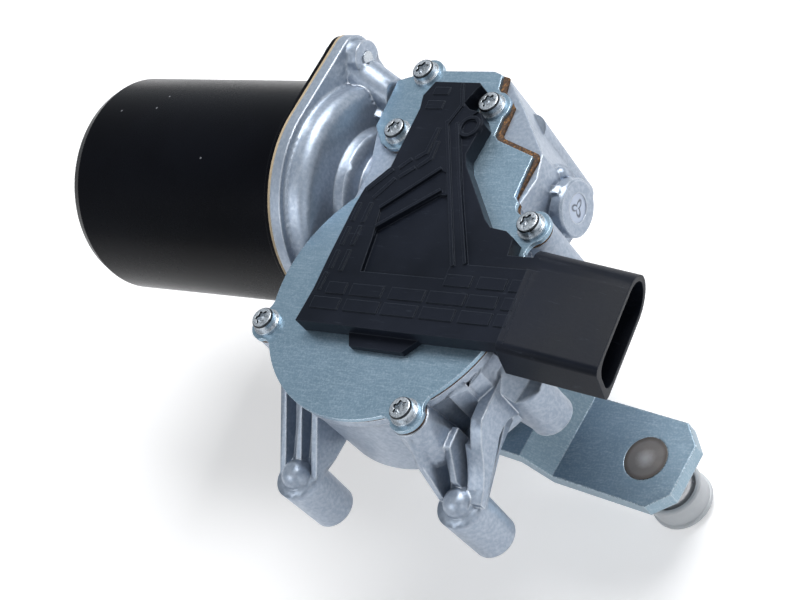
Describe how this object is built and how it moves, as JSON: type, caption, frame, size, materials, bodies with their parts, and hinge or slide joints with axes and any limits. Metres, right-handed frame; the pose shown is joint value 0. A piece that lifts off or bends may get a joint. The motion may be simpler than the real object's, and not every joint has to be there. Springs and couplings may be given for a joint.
{
  "type": "wiper motor",
  "caption": "Wiper motor: can motor on a cast gear housing, worm and wheel inside, output shaft with a cranked arm and ball joint, moulded plug on the cover.",
  "frame": {"origin": "on the output shaft's axis at the height of the gear housing's open face, under the cover's seal", "axes": "+X along the motor axis from the can towards the worm's far end, +Z along the output shaft out through the gear cover, so the crank is at -Z"},
  "size_m": [0.1904, 0.1226, 0.106],
  "materials": {
    "cast_aluminium": "satin cast",
    "black_paint": "satin",
    "zinc_plate": "zinc plated",
    "screw_zinc": "bright zinc",
    "crank_zinc": "zinc plated",
    "ball_steel": "greased",
    "bearing_steel": "ground",
    "black_plastic": "moulded",
    "cap_plastic": "moulded",
    "wheel_plastic": "moulded",
    "card_plastic": "moulded",
    "gasket_paper": "fibre",
    "gasket_cork": "cork and rubber",
    "seal_rubber": "moulded",
    "bronze": "sintered",
    "copper": "drawn",
    "carbon": "pressed",
    "ferrite": "sintered"
  },
  "bodies": {
    "housing": {"gear_housing": "cast_aluminium", "motor_can": "black_paint", "can_gasket": "gasket_paper", "can_screws": "screw_zinc", "field_magnets": "ferrite", "rear_bearing": "bronze", "front_bearing": "bearing_steel", "worm_bush": "bronze", "thrust_plug": "cap_plastic", "brush_card": "card_plastic", "carbon_brushes": "carbon", "brush_springs": "bearing_steel", "chokes": "copper", "gear_cover": "zinc_plate", "cover_gasket": "gasket_cork", "cover_screws": "screw_zinc", "plug_cover": "black_plastic", "plug_pins": "copper", "park_contacts": "copper", "shaft_bushes": "bronze", "shaft_seal": "seal_rubber"},
    "output": {"output_shaft": "bearing_steel", "worm_wheel": "wheel_plastic", "contact_disc": "copper", "shaft_circlip": "bearing_steel", "crank_arm": "crank_zinc", "crank_nut": "screw_zinc", "ball_stud": "ball_steel"},
    "armature": {"armature_shaft": "bearing_steel", "armature_core": "bearing_steel", "armature_windings": "copper", "commutator": "copper"},
    "cap": {"ball_cap": "cap_plastic"}
  },
  "joints": [
    {"name": "crank_spin", "type": "hinge", "parent": "housing", "child": "output", "pos_m": [0, 0, 0], "axis": [0, 0, 1], "continuous": true},
    {"name": "armature_spin", "type": "hinge", "parent": "housing", "child": "armature", "pos_m": [0, 0.0376, -0.015], "axis": [1, 0, 0], "continuous": true},
    {"name": "cap_spin", "type": "hinge", "parent": "output", "child": "cap", "pos_m": [0.04424, -0.00638, -0.0801], "axis": [0, 0, 1], "continuous": true}
  ],
  "couplings": [
    {"joint": "armature_spin", "follows": "crank_spin", "ratio": 50}
  ]
}
